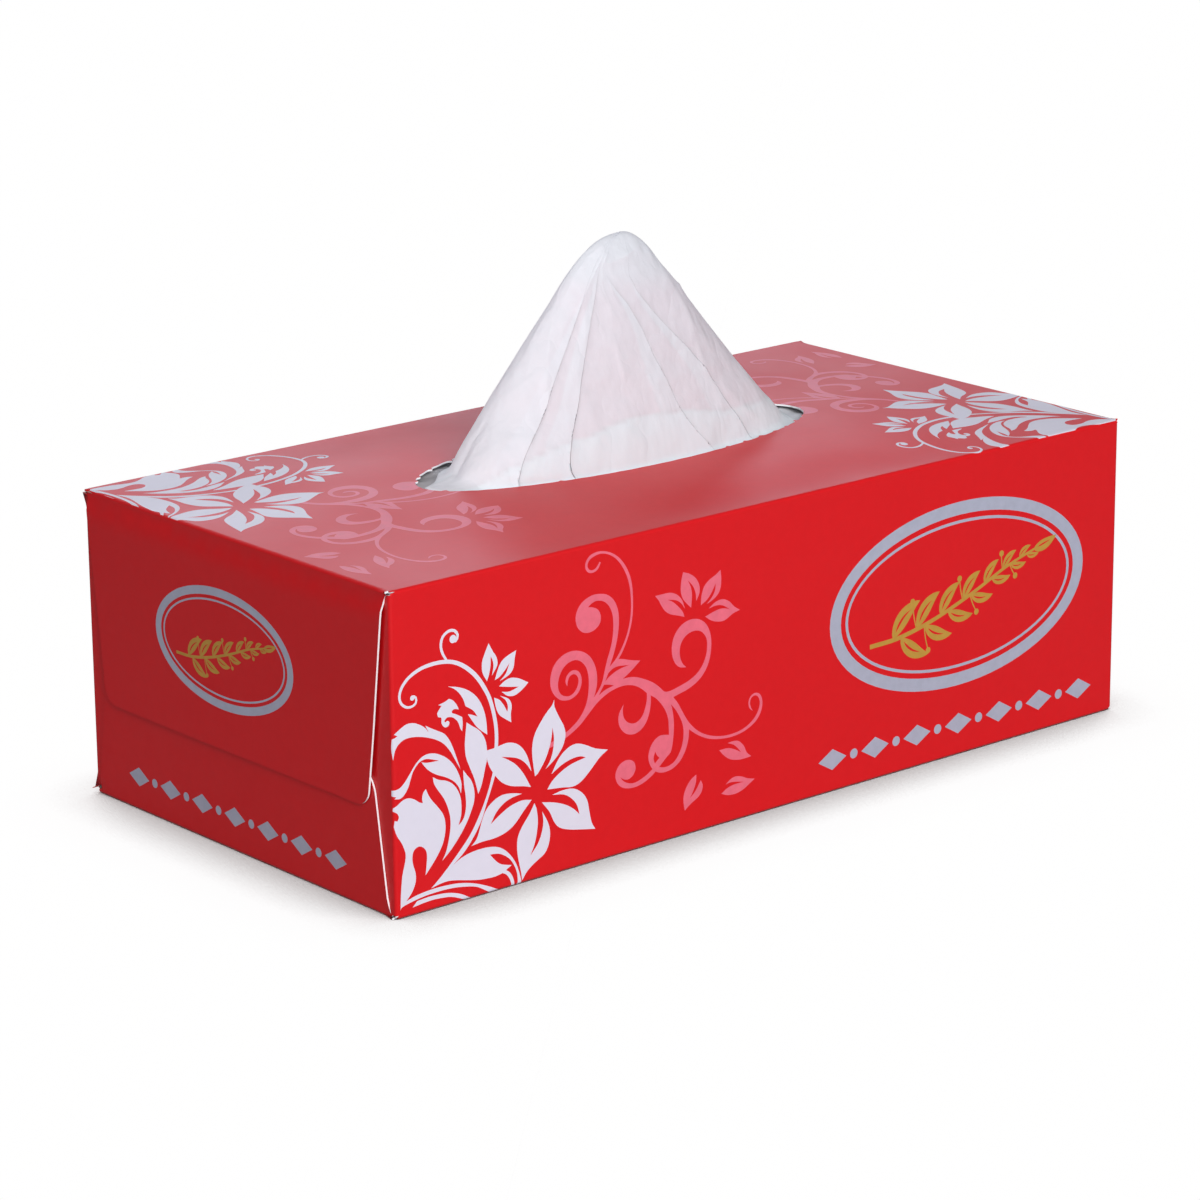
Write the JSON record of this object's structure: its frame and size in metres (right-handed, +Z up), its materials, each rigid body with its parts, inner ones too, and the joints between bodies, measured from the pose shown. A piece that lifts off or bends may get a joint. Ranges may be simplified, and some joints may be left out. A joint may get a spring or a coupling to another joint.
{
  "type": "tissue box",
  "caption": "Flat red paperboard facial-tissue carton with floral print, an oval opening in its top and a tissue pulled up through it.",
  "frame": {"origin": "centre of the carton's footprint, on the plane it stands on", "axes": "+X along the carton's length, -Y is the long front side, +Z up"},
  "size_m": [0.2322, 0.118, 0.1304],
  "materials": {
    "printed_board": "printed and varnished folding boxboard, grey back, raw cut edges pale",
    "tissue_paper": "matt, folded and interleaved",
    "tissue_sheet": "matt, thin and slightly translucent"
  },
  "bodies": {
    "root": {"carton": "printed_board", "tissue_stack": "tissue_paper", "pulled_tissue": "tissue_sheet"}
  },
  "joints": []
}
